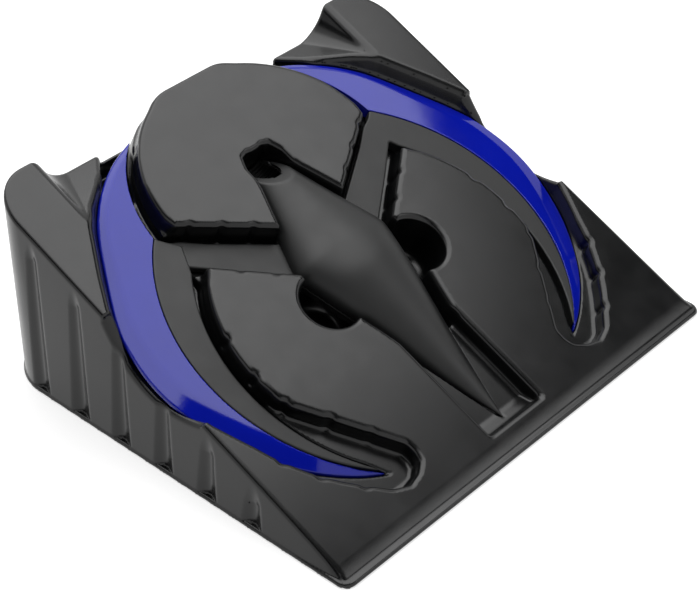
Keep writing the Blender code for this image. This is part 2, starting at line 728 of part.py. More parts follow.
def screw_places():
    """Centre, seat and top of each spindle screw and arm screw."""
    places = {}
    for i in range(SPINDLE_SCREWS):
        v = SPINDLE_SCREW_FRONT + SPINDLE_SCREW_PITCH * i
        half, high, axis = spindle_section(v)
        seat = axis - high + SCREW_RECESS + SCREW_HEAD_HIGH
        places[f"spindle_screw_{i + 1}"] = (Vector((0.0, v)), seat, MID + SCREW_BITE)
    for side, tag in ((1.0, "right"), (-1.0, "left")):
        centre = Vector((side * ARM_SCREW.x, ARM_SCREW.y))
        places[f"arm_screw_{tag}"] = (centre, MID - ARM_SCREW_SEAT, MID + SCREW_BITE)
    return places


def screw(name, place, clearance, recess, target, material=None):
    """One screw, or the counterbored hole for it."""
    centre, seat, top = place
    bm = bmesh.new()
    fastener(bm, centre, screw_levels(seat, top, clearance, recess))
    return add_object(name, bm, target, material)


def main():
    clear_scene()
    parts = collection("wedge_display_ramp")
    outside = collection("outside_cutters")
    inside = collection("inside_cutters")
    spindle_cuts = collection("spindle_cutters")
    others = collection("other_cutters")

    black_shell = plastic("formed_black", (0.035, 0.036, 0.038), 0.42)
    black_insert = plastic("moulded_black", (0.03, 0.03, 0.032), 0.4)
    black_liner = plastic("liner_black", (0.05, 0.05, 0.052), 0.5)
    blue = plastic("gloss_blue", (0.012, 0.014, 0.36), 0.18)
    plated = steel("plated_steel")

    pocket_set("outside", 0.0, outside)
    pocket_set("inside", WALL, inside)
    core = wedge("core", WALL, -FLANGE_HEIGHT, others)
    boolean(core, "DIFFERENCE", inside, "MANIFOLD")
    weld(core)
    shell = wedge("ramp_shell", 0.0, FLANGE_HEIGHT / 2, parts, black_shell)
    boolean(shell, "UNION", flange("flange", others))
    boolean(shell, "DIFFERENCE", outside, "MANIFOLD")
    weld(shell)
    boolean(shell, "DIFFERENCE", core, "MANIFOLD")
    weld(shell)

    mouth = along_v(SLEEVE_RADIUS, SLEEVE_BOTTOM_V, SPINDLE_END + SLEEVE_RADIUS)
    add_object("mouth_bore", mouth, spindle_cuts)
    top = MID + WING_THICK / 2
    for side, tag in ((1.0, "right"), (-1.0, "left")):
        slot = prism(arm_plan(GAP), top - ARM_THICK - GAP, top + GAP)
        add_object(f"arm_slot_{tag}", turned_over(slot, side), spindle_cuts)
    for name, place in screw_places().items():
        screw(f"{name}_hole", place, GAP, SPINDLE_HIGH, spindle_cuts)
        screw(name, place, 0.0, 0.0, parts, plated)
    spindle_half("spindle_upper_shell", True, spindle_cuts, parts, black_insert)
    spindle_half("spindle_lower_shell", False, spindle_cuts, parts, black_insert)
    socket_sleeve(parts, others, black_liner)
    for side, tag in ((1.0, "right"), (-1.0, "left")):
        frame = wing_frame(tag, side, others, parts, black_insert)
        boolean(frame, "DIFFERENCE", bpy.data.objects[f"arm_screw_{tag}_hole"])
        blade(tag, side, others, parts, blue)

    lift = bpy.data.objects.new("insert_lift", None)
    lift.matrix_basis = FACE @ Matrix.Translation((0.0, SPINDLE_WIDE_V, MID))
    parts.objects.link(lift)
    for obj in parts.objects:
        if obj not in (lift, shell):
            carry(lift, obj)


main()
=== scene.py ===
"""Looks of the wedge display ramp: fine formed surfaces, materials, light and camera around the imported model.

Every shape is a signed distance function in the sloping face's own coordinates, in millimetres: u across,
v up the slope from the face's front edge, n square to the face. The functions are meshed with soft formed
edges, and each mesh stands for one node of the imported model.
"""
import math

import bpy
import numpy as np
from mathutils import Matrix, Vector


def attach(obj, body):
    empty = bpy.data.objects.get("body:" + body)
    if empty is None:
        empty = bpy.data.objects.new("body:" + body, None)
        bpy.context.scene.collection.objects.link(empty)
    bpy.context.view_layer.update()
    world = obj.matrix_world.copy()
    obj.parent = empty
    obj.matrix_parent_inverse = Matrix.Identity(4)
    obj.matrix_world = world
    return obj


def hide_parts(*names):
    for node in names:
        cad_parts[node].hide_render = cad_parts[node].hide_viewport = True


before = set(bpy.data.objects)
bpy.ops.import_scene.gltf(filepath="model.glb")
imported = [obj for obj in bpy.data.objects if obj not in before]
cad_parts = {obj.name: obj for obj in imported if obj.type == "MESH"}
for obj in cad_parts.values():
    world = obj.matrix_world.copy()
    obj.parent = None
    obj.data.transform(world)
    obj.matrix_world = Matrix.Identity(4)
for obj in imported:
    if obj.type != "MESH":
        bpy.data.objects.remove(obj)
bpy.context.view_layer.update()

MM = 0.001

# Ramp, overall
HALF_WIDTH = 180.0
HALF_DEPTH = 156.0
SLOPE = math.radians(24.3)
FRONT_LIP = 10.4
FACE_Y = FRONT_LIP - HALF_DEPTH
FACE_Z = 6.5
FRONT_EDGE = -1.4
FRONT_BEVEL = math.radians(35.0)
FRONT_RIM = 1.0
SIDE_FOOT = 179.3
SIDE_LEAN = 4.1
BACK_FOOT = 155.3
BACK_LEAN = 2.8
BACK_HIGH = 139.0
BACK_CORNER = 30.0
CORNER_FLARE = 14.0
FRONT_CORNER = 9.0
SKIN_CORNER = 3.0
FACE_RIM = 3.0
WALL = 2.5
SHEET_ROUND = 0.5
FLANGE_HIGH = 3.0
FLANGE_ROUND = 2.0
FLOOR_HIGH = 2.9

# Walls are followed a little past their top, as shares of their height
PAST_SIDE = 1.2
PAST_BACK = 1.1

# Pockets
RIM = 3.5
POCKET_DRAFT = math.radians(4.0)
POCKET_JOIN = 1.5
FLOOR_ROUND = 1.0
LEDGE_DEPTH = 13.0
LEDGE_FOOT = 3.0
NEST_GAP = 0.6
NEST_FOOT = 1.2
NEST_JOIN = 1.2
NEST_HALF = 173.4
NEST_CORNER = 1.0
WING_MARGIN = 3.0
EDGE_MARGIN = 1.0
EDGE_ZONE = 8.0
EDGE_FADE = 6.0
NOTCH = (41.5, 140.7)
NOTCH_RADIUS = 20.5
NOTCH_DEPTH = 36.0
NOTCH_FOOT = 7.0
NOTCH_JOIN = 2.0
HEAD = (0.0, 234.6)
HEAD_RADIUS = 94.0
DISC = (14.0, 128.0)
DISC_RADIUS = 110.5
SIDE = (20.0, 140.0)
SIDE_RADIUS = 146.0
CHANNEL_DEPTH = 12.5
CHANNEL_FOOT = 4.0
SPINDLE_JOIN = 0.3
GROOVE_SET_OUT = 1.5
ARM_GROOVE = 2.9
DISC_GROOVE = 3.7
SIDE_GROOVE = 3.2
NOTCH_GROOVE = 6.2

# Dip in the side edge
SADDLE_FRONT = 118.0
SADDLE_BACK = 215.0
SADDLE_DEPTH = 20.0
SADDLE_SKEW = 0.95
SADDLE_POWER = 0.9
SADDLE_CLEAR = 9.0
SADDLE_RUN_OUT = 0.12
SADDLE_STEEP = 0.85
SADDLE_INNER = 150.0
SADDLE_ROUND = 4.0
SADDLE_JOIN = 2.0

# Shoulder, the level facet behind it and the gap in the back wall
SHOULDER_OUT = 3.4
SHOULDER_INNER = 134.0
SHOULDER_SLANT = math.tan(math.radians(31.8))
SHOULDER_FRONT = 192.0
SHOULDER_BACK = 318.0
SHOULDER_FADE = 22.0
SHOULDER_SIDE = 84.0
SHOULDER_SIDE_FADE = 14.0
SHOULDER_SUNK = (-0.4, 1.3)
FACET_START = 274.0
FACET_INNER = 92.0
FACET_INSET = 0.6
FACET_CORNER = 1.0
FACET_FILLET = 13.0
FACET_RUN = 48.0
FACET_JOIN = 4.0
BACK_GAP_HIGH = 112.5
BACK_GAP_FLOOR = 101.0
BACK_GAP_INSET = 1.5
BACK_GAP_FOOT = 3.0
BACK_RIM = 7.0
BACK_RIM_FOOT = 2.0
BACK_RIM_ROUND = 1.5

# Flutes in the side walls
FLUTES = 6
FLUTE_RADIUS = 8.0
FLUTE_DEPTH = 3.2
FLUTE_TAPER = 0.7
FLUTE_FADE = 14.0
FLUTE_FADE_END = 1.3
FLUTE_CLEAR = 4.0
FLUTE_BACK = 45.0
FLUTE_PITCH = 37.8
FLUTE_SINK = 1.0
FLUTE_FOOT = 1.0
FLUTE_RIM = 3.0

# Winged insert
GAP = 0.3
MID = -14.2
WING_HALF = 4.3
WING_TOP = MID + WING_HALF
WING_DEPTH = WING_HALF - MID + GAP
WING_ROUND = 1.2
ARM_THICK = 5.0
ARM_FILLET = 2.0
TIP_V = 15.0
TIP_LIFT = 3.2
TIP_RUN = 45.0
TIP_RADIUS = 0.7
SPINDLE_END = 256.0
SPINDLE_WIDE_V = 168.0
SPINDLE_HALF = 42.5
SPINDLE_END_HALF = 10.5
SPINDLE_HIGH = 22.0
SPINDLE_NOSE_FULL = 1.3
SPINDLE_END_HIGH = 13.5
SPINDLE_FAIR = 2.5
TAIL_POWER = 1.12
SECTION_POWER = 2.0
SPLIT_ROUND = 0.25
MOUTH_V = 225.0
MOUTH_ANGLE = math.radians(33.0)
MOUTH_ROUND = 0.8
SLEEVE_RADIUS = 10.2
SLEEVE_WALL = 1.2
SLEEVE_BOTTOM = 198.0
SLEEVE_END = 254.0
SLEEVE_SINK = 2.0
SLEEVE_ROUND = 0.4
RING_DEPTH = 0.35
RING_PITCH = 2.6
WING_TIP = (91.5, 30.5)
BAND_SIDE = (129.0, 128.0)
BAND_END = (99.0, 209.0)
SEAM_SIDE = (147.0, 134.0)
SEAM_END = (102.0, 243.0)
SEAM_ROUND = 0.35
HORN_SIDE = (91.0, 279.0)
HORN_TIP = (59.0, 312.0)
BEVEL_FRONT = 14.0
BEVEL_BACK = 5.0
BEVEL_START = 110.0
BEVEL_RUN = 170.0
RIDGE_ROUND = 0.6
EDGE_HALF = 1.6
EDGE_ROUND = 1.3


def both(a, b, radius):
    """Where a and b hold at once, the edge between them rounded."""
    corner = np.hypot(np.maximum(a + radius, 0.0), np.maximum(b + radius, 0.0))
    return np.minimum(np.maximum(a, b), -radius) + corner


def either(a, b, radius):
    """Where a or b holds, the corner between two solids filled, or the edge between two hollows rounded."""
    return -both(-a, -b, radius)


def soft_min(a, b, blend):
    """The smaller of two lengths, faired over where they cross."""
    return (a + b) / 2 - np.sqrt(((a - b) / 2) ** 2 + blend ** 2 / 4)


def ramped(x, start, run):
    """A share that is 0 at start, 1 a run further on, and straight between them."""
    return np.clip((x - start) / run, 0.0, 1.0)


def to_world(v, n):
    """World y and z of a face point."""
    y = FACE_Y + v * math.cos(SLOPE) - n * math.sin(SLOPE)
    z = FACE_Z + v * math.sin(SLOPE) + n * math.cos(SLOPE)
    return y, z


def arc(centre, radius, start, end, steps=24):
    """Points along a circle, angles in degrees."""
    turn = np.radians(np.linspace(start, end, steps + 1))
    return [(centre[0] + radius * math.cos(t), centre[1] + radius * math.sin(t)) for t in turn]


def arc_through(first, middle, last, steps=48, out=0.0):
    """Points along the circle through three points, moved outward."""
    (ax, ay), (bx, by), (cx, cy) = first, middle, last
    px, py, qx, qy = bx - ax, by - ay, cx - ax, cy - ay
    cross = 2.0 * (px * qy - py * qx)
    ox = (qy * (px * px + py * py) - py * (qx * qx + qy * qy)) / cross
    oy = (px * (qx * qx + qy * qy) - qx * (px * px + py * py)) / cross
    centre = (ax + ox, ay + oy)
    start = math.degrees(math.atan2(ay - centre[1], ax - centre[0]))
    end = math.degrees(math.atan2(cy - centre[1], cx - centre[0]))
    return arc(centre, math.hypot(ox, oy) + out, start, end, steps)


def faired(points, steps=8):
    """Points along a smooth curve through a row of points."""
    row = np.array([points[0]] + points + [points[-1]], float)
    t = np.linspace(0.0, 1.0, steps + 1)[:-1, None]
    curve = []
    for a, b, c, d in zip(row, row[1:], row[2:], row[3:]):
        bend = 2 * b + (c - a) * t + (2 * a - 5 * b + 4 * c - d) * t ** 2 + (3 * b - a - 3 * c + d) * t ** 3
        curve += [tuple(place) for place in bend / 2]
    return curve + [points[-1]]


def spaced(first, last, count):
    """Evenly spaced places on a line."""
    start = np.array(first)
    run = np.array(last) - start
    return [tuple(start + run * i / (count - 1)) for i in range(count)]


def around(centre, radius, angles):
    """Single places on a circle, angles in degrees."""
    return [arc(centre, radius, angle, angle, 1)[0] for angle in angles]


class Plan:
    """Signed distance to a closed outline on the face, kept as a fine table."""

    STEP = 0.6
    U0, U1, V0, V1 = -30.0, 200.0, -26.0, 356.0
    FAR = 1e9
    TINY = 1e-9

    def __init__(self, outline, soften, scallops=()):
        u, v = np.meshgrid(np.arange(self.U0, self.U1, self.STEP), np.arange(self.V0, self.V1, self.STEP),
                           indexing="ij")
        away = np.full(u.shape, self.FAR)
        inside = np.zeros(u.shape, bool)
        for (ax, ay), (bx, by) in zip(outline, outline[1:] + outline[:1]):
            ex, ey = bx - ax, by - ay
            t = np.clip(((u - ax) * ex + (v - ay) * ey) / max(ex * ex + ey * ey, self.TINY), 0.0, 1.0)
            away = np.minimum(away, np.hypot(u - ax - t * ex, v - ay - t * ey))
            if abs(ey) > self.TINY:
                inside ^= ((ay > v) != (by > v)) & (u < ax + (v - ay) * ex / ey)
        table = np.where(inside, -away, away)
        for place, radius in scallops:
            table = np.minimum(table, np.hypot(u - place[0], v - place[1]) - radius)
        self.table = self.softened(table, soften / self.STEP)

    @staticmethod
    def softened(table, sigma):
        """The table blurred, which rounds the outline's corners."""
        reach = int(3 * sigma) + 1
        weights = np.exp(-0.5 * (np.arange(-reach, reach + 1) / sigma) ** 2)
        weights /= weights.sum()
        for axis in (0, 1):
            pad = [(reach, reach) if a == axis else (0, 0) for a in (0, 1)]
            wide = np.pad(table, pad, mode="edge")
            length = table.shape[axis]
            table = sum(w * np.take(wide, range(k, k + length), axis) for k, w in enumerate(weights))
        return table

    def __call__(self, u, v):
        x = np.clip((u - self.U0) / self.STEP, 0.0, self.table.shape[0] - 1.001)
        y = np.clip((v - self.V0) / self.STEP, 0.0, self.table.shape[1] - 1.001)
        i = x.astype(np.int32)
        j = y.astype(np.int32)
        x = x - i
        y = y - j
        t = self.table
        front = t[i, j] * (1 - x) + t[i + 1, j] * x
        back = t[i, j + 1] * (1 - x) + t[i + 1, j + 1] * x
        return front * (1 - y) + back * y


# Outlines on the right half of the face

BLADE_INSIDE = [(0.0, 300.0), (0.0, 40.0)]
BAND_SHOULDER = [(100.0, 240.0), (90.0, 228.5)]
CHANNEL_FRONT = [(-20.0, 9.5), (25.0, 9.5), (25.0, 92.0), (-20.0, 92.0)]
ARM_SLOT = [(28.8, 154.6), (108.8, 216.6), (113.9, 254.6), (15.9, 191.1)]
ARM = [(27.0, 164.5), (42.0, 173.0), (72.0, 196.0), (97.0, 216.5), (114.0, 222.0), (103.0, 240.5),
       (86.7, 233.5), (72.7, 223.0), (29.7, 195.5), (13.7, 186.5)]


def blade_edge():
    """Outer edge of the blade, front to back."""
    return faired([WING_TIP, (111.5, 41.5), (132.0, 58.5), (149.0, 80.0), (163.0, 106.0), (172.6, 138.0),
                   (174.4, 165.0), (169.8, 192.0), (163.0, 209.5), (150.0, 232.5), (131.0, 263.0),
                   (118.5, 278.0), (102.5, 291.5), (82.5, 303.5), HORN_TIP])


def crescent_outline():
    """Wide upper pocket over one wing, open to the back."""
    return ([(76.2, 37.0), (75.8, 29.5), (77.5, 24.0), (84.6, 18.8), (95.0, 16.0), (106.5, 20.5)]
            + arc(SIDE, SIDE_RADIUS, -47.0, -20.0)
            + [(169.5, 118.0), (172.5, 135.0), (172.5, 185.0)]
            + [(171.0, 193.0), (164.3, 210.3), (151.4, 233.3), (132.4, 264.0), (119.7, 279.2), (104.0, 293.0)]
            + [(86.0, 314.0), (68.0, 340.0), (14.0, 340.0), (21.0, 329.8), (28.5, 326.3), (35.0, 322.8)]
            + arc(HEAD, HEAD_RADIUS, 64.0, 8.0) + [(91.0, 238.0), (93.0, 206.0)]
            + arc(DISC, DISC_RADIUS, 40.0, -14.0))


def nest_outline():
    """Close-fitting lower recess under one blade and its band."""
    return (blade_edge() + arc_through(HORN_TIP, HORN_SIDE, SEAM_END)[1:]
            + arc_through(BAND_END, BAND_SIDE, WING_TIP)[:-1])


def gap_outline():
    """Deep part of the crescent pocket, between the wing and the walls of the head and of the half disc."""
    head = arc(HEAD, HEAD_RADIUS + WING_MARGIN, 54.0, 8.0)
    disc = arc(DISC, DISC_RADIUS + WING_MARGIN, 40.0, -8.0)
    return head + disc + [(140.0, 112.0), (146.0, 150.0), (120.0, 215.0), (106.0, 260.0), (70.0, 312.0)]


def channel_outline():
    """Right half of the spindle channel and of the notch in the head plateau."""
    return [(-20.0, 84.0), (25.0, 84.0), (25.0, 92.0), (29.0, 107.0), (33.0, 120.0), (44.0, 164.0),
            (28.5, 203.0), (18.3, 228.5), (15.8, 237.0), (15.6, 247.0), (11.8, 256.0), (-20.0, 256.0)]


# Half-round stiffening grooves in the pocket walls

def grooves(places, radius):
    """Places of grooves, each with its radius."""
    return [(place, radius) for place in places]


ARM_GROOVES = grooves(spaced((81.8, 232.0), (45.8, 208.6), 3)
                      + spaced((74.9, 192.2), (55.9, 177.5), 2), ARM_GROOVE)
DISC_GROOVES = grooves(around(DISC, DISC_RADIUS + GROOVE_SET_OUT, (15.4, -0.5, -13.9))
                       + spaced((106.4, 76.4), (91.3, 53.7), 2), DISC_GROOVE)
SIDE_GROOVES = grooves(around(SIDE, SIDE_RADIUS - GROOVE_SET_OUT, (-26.8, -36.6, -47.5)), SIDE_GROOVE)
NOTCH_GROOVES = grooves([(6.5, 251.0)], NOTCH_GROOVE)


# Spindle

def spindle_section(v):
    """Half width, half height and axis height along the spindle."""
    v = np.clip(v, TIP_V, SPINDLE_END)
    rise = (v - TIP_V) / (SPINDLE_WIDE_V - TIP_V)
    fall = ((SPINDLE_END - v) / (SPINDLE_END - SPINDLE_WIDE_V)) ** TAIL_POWER
    tail_half = SPINDLE_END_HALF + (SPINDLE_HALF - SPINDLE_END_HALF) * fall
    tail_high = SPINDLE_END_HIGH + (SPINDLE_HIGH - SPINDLE_END_HIGH) * fall
    half = soft_min(SPINDLE_HALF * rise, tail_half, SPINDLE_FAIR)
    high = soft_min(SPINDLE_NOSE_FULL * SPINDLE_HIGH * rise, tail_high, SPINDLE_FAIR)
    lift = TIP_LIFT * np.maximum(0.0, 1.0 - (v - TIP_V) / TIP_RUN)
    return np.maximum(half, TIP_RADIUS), np.maximum(high, TIP_RADIUS), MID + lift


def spindle(u, v, n, grow):
    """Distance to the whole spindle, its surface moved out by grow."""
    half, high, axis = spindle_section(v)
    across = np.abs(u)
    up = np.abs(n - axis)
    reach = np.hypot(across, up)
    wide = (across / (half + grow)) ** SECTION_POWER
    tall = (up / (high + grow)) ** SECTION_POWER
    share = (wide + tall) ** (1 / SECTION_POWER)
    radial = reach - reach / np.maximum(share, 1e-6)
    radial = np.where(reach < 1e-6, -np.minimum(half, high) - grow, radial)
    return np.maximum(radial, np.maximum(TIP_V - grow - v, v - SPINDLE_END - grow))


def mouth_plane(v, n, sink):
    """Distance above the sloping cut of the spindle's mouth."""
    _, high, axis = spindle_section(np.array(MOUTH_V))
    return (v - MOUTH_V) * math.sin(MOUTH_ANGLE) + (n - float(axis + high) + sink) * math.cos(MOUTH_ANGLE)


# Ramp shell

class Ramp:
    """The thermoformed skin, its outside and its hollow underside."""

    def __init__(self):
        self.crescent = Plan(crescent_outline(), soften=1.4, scallops=DISC_GROOVES + SIDE_GROOVES)
        self.nest = Plan(nest_outline(), soften=1.0)
        self.gap = Plan(gap_outline(), soften=1.0)
        self.edge = Plan(blade_edge() + BLADE_INSIDE, soften=0.35)
        self.arm = Plan(ARM_SLOT, soften=1.1, scallops=ARM_GROOVES)
        self.channel = Plan(channel_outline(), soften=1.0, scallops=NOTCH_GROOVES)
        self.channel_front = Plan(CHANNEL_FRONT, soften=1.4)

    def wall(self, away, n):
        """Distance to a pocket's drafted wall."""
        return (away + math.tan(POCKET_DRAFT) * (-n - RIM)) * math.cos(POCKET_DRAFT)

    def pocket(self, away, depth, foot, v, n):
        """Empty space of one pocket: drafted wall, flat floor, filleted foot."""
        z = to_world(v, n)[1]
        return both(self.wall(away, n), both(-(n + depth), FLOOR_HIGH - z, FLOOR_ROUND), foot)

    def saddle(self, u, v, n):
        """Empty space over the dip in the side edge."""
        t = ramped(v, SADDLE_FRONT, SADDLE_BACK - SADDLE_FRONT)
        wave = np.maximum(np.sin(np.pi * t ** SADDLE_SKEW), 0.0)
        clear = SADDLE_CLEAR * np.maximum(1.0 - wave / SADDLE_RUN_OUT, 0.0)
        dip = clear - SADDLE_DEPTH * wave ** SADDLE_POWER
        return both((dip - n) * SADDLE_STEEP, SADDLE_INNER - u, SADDLE_ROUND)

    def facet(self, u, v, n):
        """Empty space over the level facet behind the shoulder."""
        top = -math.tan(SLOPE) * (v - FACET_START)
        inner = FACET_INNER - (v - FACET_START) * FACET_INSET
        slant = u - SHOULDER_INNER - SHOULDER_SLANT * np.minimum(n, 0.0)
        slant = slant * math.cos(math.atan(SHOULDER_SLANT))
        fillet = FACET_CORNER + (FACET_FILLET - FACET_CORNER) * ramped(v, FACET_START, FACET_RUN)
        return both((top - n) * math.cos(SLOPE), both(slant, inner - u, FACET_CORNER), fillet)

    def crescent_away(self, u, v, n):
        """Distance outside the crescent pocket's outline, whose wall leans out beside the shoulder."""
        beside = ramped(v, SHOULDER_FRONT, SHOULDER_FADE) * ramped(v, SHOULDER_BACK, -SHOULDER_FADE)
        beside = beside * ramped(u, SHOULDER_SIDE, SHOULDER_SIDE_FADE)
        sunk = np.clip((-n - RIM) / (LEDGE_DEPTH - RIM), *SHOULDER_SUNK)
        return self.crescent(u, v) - SHOULDER_OUT * beside * (1.0 - sunk)

    def nest_away(self, u, v):
        """Distance outside the recess under one wing, which fits closer along the blade's outer edge."""
        outer = ramped(self.edge(u, v), -EDGE_ZONE, EDGE_FADE)
        margin = WING_MARGIN - (WING_MARGIN - EDGE_MARGIN) * outer
        return both(np.minimum(self.nest(u, v), self.gap(u, v)) - margin, u - NEST_HALF, NEST_CORNER)

    def back_gap(self, u, v, n):
        """Empty space behind the horn, with a low rim left along the back wall."""
        y, z = to_world(v, n)
        wall = self.wall(self.crescent(u, v), n) + BACK_GAP_INSET
        sunk = both(BACK_GAP_FLOOR - z, y - HALF_DEPTH + BACK_RIM, BACK_RIM_FOOT)
        return both(wall, either(BACK_GAP_HIGH - z, sunk, BACK_RIM_ROUND), BACK_GAP_FOOT)

    def side_wall(self, y, z):
        """Half width of the side walls, and how steeply they lean, at a height."""
        top = np.maximum(FACE_Z + (y - FACE_Y) * math.tan(SLOPE), FACE_Z)
        return SIDE_FOOT - SIDE_LEAN * np.clip(z / top, 0.0, PAST_SIDE), SIDE_LEAN / top

    def flutes(self, u, v, n):
        """Empty space of the tapered flutes in the side wall."""
        y, z = to_world(v, n)
        space = np.full(u.shape, Plan.FAR)
        for index in range(FLUTES):
            at = HALF_DEPTH - FLUTE_BACK - FLUTE_PITCH * index
            top = FACE_Z + (at - FACE_Y) * math.tan(SLOPE)
            share = 1.0 - FLUTE_TAPER * np.clip(z / top, 0.0, PAST_SIDE)
            rise = FLUTE_CLEAR * np.clip((z - top) / FLUTE_FADE + FLUTE_FADE_END, 0.0, 1.0)
            centre = self.side_wall(at, z)[0] + (FLUTE_RADIUS - FLUTE_DEPTH) * share + rise
            space = np.minimum(space, np.hypot(u - centre, y - at) - FLUTE_RADIUS * share)
        return both(space, FLANGE_HIGH - FLUTE_SINK - z, FLUTE_FOOT)

    def body(self, u, v, n):
        """The plain wedge: side walls, back wall, face and front bevel."""
        y, z = to_world(v, n)
        half, lean = self.side_wall(y, z)
        side = (u - half) / np.hypot(1.0, lean)
        high = np.clip(z / BACK_HIGH, 0.0, PAST_BACK)
        back = y - BACK_FOOT + BACK_LEAN * high
        walls = both(side, back, BACK_CORNER + CORNER_FLARE * (1.0 - high))
        edge_y, edge_z = to_world(FRONT_EDGE, 0.0)
        front = -(y - edge_y) * math.sin(FRONT_BEVEL) + (z - edge_z) * math.cos(FRONT_BEVEL)
        bevelled = both(both(walls, front, SKIN_CORNER), n, FRONT_RIM)
        return np.maximum(both(walls, n, FACE_RIM), bevelled)

    def hollow(self, u, v, n):
        """Empty space of all pockets, of the facet and of the dip in the side edge."""
        notch = np.hypot(u - NOTCH[0], v - NOTCH[1]) - NOTCH_RADIUS
        space = self.pocket(self.crescent_away(u, v, n), LEDGE_DEPTH, LEDGE_FOOT, v, n)
        space = either(space, self.pocket(self.nest_away(u, v), WING_DEPTH, NEST_FOOT, v, n), NEST_JOIN)
        space = either(space, self.back_gap(u, v, n), POCKET_JOIN)
        space = either(space, self.pocket(self.arm(u, v), WING_DEPTH, LEDGE_FOOT, v, n), POCKET_JOIN)
        space = either(space, self.pocket(self.channel(u, v), WING_DEPTH, CHANNEL_FOOT, v, n), POCKET_JOIN)
        front = self.pocket(self.channel_front(u, v), CHANNEL_DEPTH, LEDGE_FOOT, v, n)
        space = either(space, front, POCKET_JOIN)
        space = either(space, self.pocket(notch, NOTCH_DEPTH, NOTCH_FOOT, v, n), NOTCH_JOIN)
        space = either(space, spindle(u, v, n, NEST_GAP), SPINDLE_JOIN)
        space = either(space, self.facet(u, v, n), FACET_JOIN)
        return either(space, self.saddle(u, v, n), SADDLE_JOIN)

    def skin(self, u, v, n):
        """The formed outside, without the base flange."""
        formed = both(self.body(u, v, n), -self.hollow(u, v, n), RIM)
        return both(formed, -self.flutes(u, v, n), FLUTE_RIM)

    def __call__(self, u, v, n):
        u = np.abs(u)
        y, z = to_world(v, n)
        skin = self.skin(u, v, n)
        corner = BACK_CORNER + CORNER_FLARE
        rim = both(both(u - HALF_WIDTH, y - HALF_DEPTH, corner), -y - HALF_DEPTH, FRONT_CORNER)
        flange = both(rim, z - FLANGE_HIGH, FLANGE_ROUND)
        solid = both(either(skin, flange, SHEET_ROUND), -z, SHEET_ROUND)
        return both(solid, -(skin + WALL), SHEET_ROUND)


# Insert pieces, right hand; the left wing is the same moulding turned over

def turned(function, side):
    """A function of the right wing, turned half way round the spindle's axis for the left one."""
    if side > 0:
        return function
    return lambda u, v, n: function(-u, v, 2 * MID - n)


class WingFrame:
    """Black crescent band with its arm."""

    def __init__(self):
        seam = arc_through(WING_TIP, SEAM_SIDE, SEAM_END, out=-GAP)
        inner = arc_through(BAND_END, BAND_SIDE, WING_TIP)
        self.band = Plan(seam + BAND_SHOULDER + inner[:-1], soften=0.7)
        self.arm = Plan(ARM, soften=1.0)

    def __call__(self, u, v, n):
        band = self.band(u, v)
        whole = either(band, self.arm(u, v), ARM_FILLET)
        upper = both(whole, np.abs(n - WING_TOP + ARM_THICK / 2) - ARM_THICK / 2, WING_ROUND)
        return np.minimum(both(band, np.abs(n - MID) - WING_HALF, WING_ROUND), upper)


class Blade:
    """Blue crescent blade with a bevelled outer edge and a swept horn."""

    def __init__(self):
        edge = blade_edge()
        horn = arc_through(HORN_TIP, HORN_SIDE, SEAM_END)
        seam = arc_through(SEAM_END, SEAM_SIDE, WING_TIP)
        self.plan = Plan(edge + horn[1:] + seam[1:-1], soften=0.35)
        self.edge = Plan(edge + BLADE_INSIDE, soften=0.35)

    def __call__(self, u, v, n):
        inside = -self.edge(u, v)
        width = BEVEL_FRONT + (BEVEL_BACK - BEVEL_FRONT) * ramped(v, BEVEL_START, BEVEL_RUN)
        slope = (WING_HALF - EDGE_HALF) / width
        bevel = (np.abs(n - MID) - EDGE_HALF - slope * inside) / np.hypot(1.0, slope)
        flat = np.abs(n - MID) - WING_HALF
        section = both(-inside, both(bevel, flat, RIDGE_ROUND), EDGE_ROUND)
        return both(self.plan(u, v), section, SEAM_ROUND)


def spindle_shell(upper):
    """One half of the spindle, with the scooped mouth and the socket's bore."""
    def shape(u, v, n):
        body = both(spindle(u, v, n, 0.0), mouth_plane(v, n, 0.0), MOUTH_ROUND)
        bore = np.maximum(np.hypot(u, n - MID) - SLEEVE_RADIUS, SLEEVE_BOTTOM - v)
        split = (MID + GAP / 2 - n) if upper else (n - MID + GAP / 2)
        return both(both(body, split, SPLIT_ROUND), -bore, MOUTH_ROUND)
    return shape


def sleeve(u, v, n):
    """Ringed liner of the socket."""
    reach = np.hypot(u, n - MID)
    rings = RING_DEPTH * np.cos(2 * np.pi * v / RING_PITCH)
    bore = np.maximum(reach - SLEEVE_RADIUS + SLEEVE_WALL + rings, SLEEVE_BOTTOM + 2 * SLEEVE_WALL - v)
    tube = np.maximum(reach - SLEEVE_RADIUS + GAP, np.maximum(SLEEVE_BOTTOM + GAP - v, v - SLEEVE_END))
    return both(both(tube, mouth_plane(v, n, SLEEVE_SINK), SLEEVE_ROUND), -bore, SLEEVE_ROUND)


# Meshing

BLOCK = 6
NEAR_SHARE = 1.15
BEYOND = 9.0
SETTLE_ROUNDS = 2
SETTLE_REACH = 0.05
LEAST_STEEP = 0.05
MOST_MOVE = 0.4
NORMAL_REACH = 0.1
MIDDLE_SHARE = 0.1
CORNERS = [(a, b, c) for a in (0, 1) for b in (0, 1) for c in (0, 1)]
EDGES = [(p, q) for p in CORNERS for q in CORNERS
         if sum(q) - sum(p) == 1 and all(x <= y for x, y in zip(p, q))]


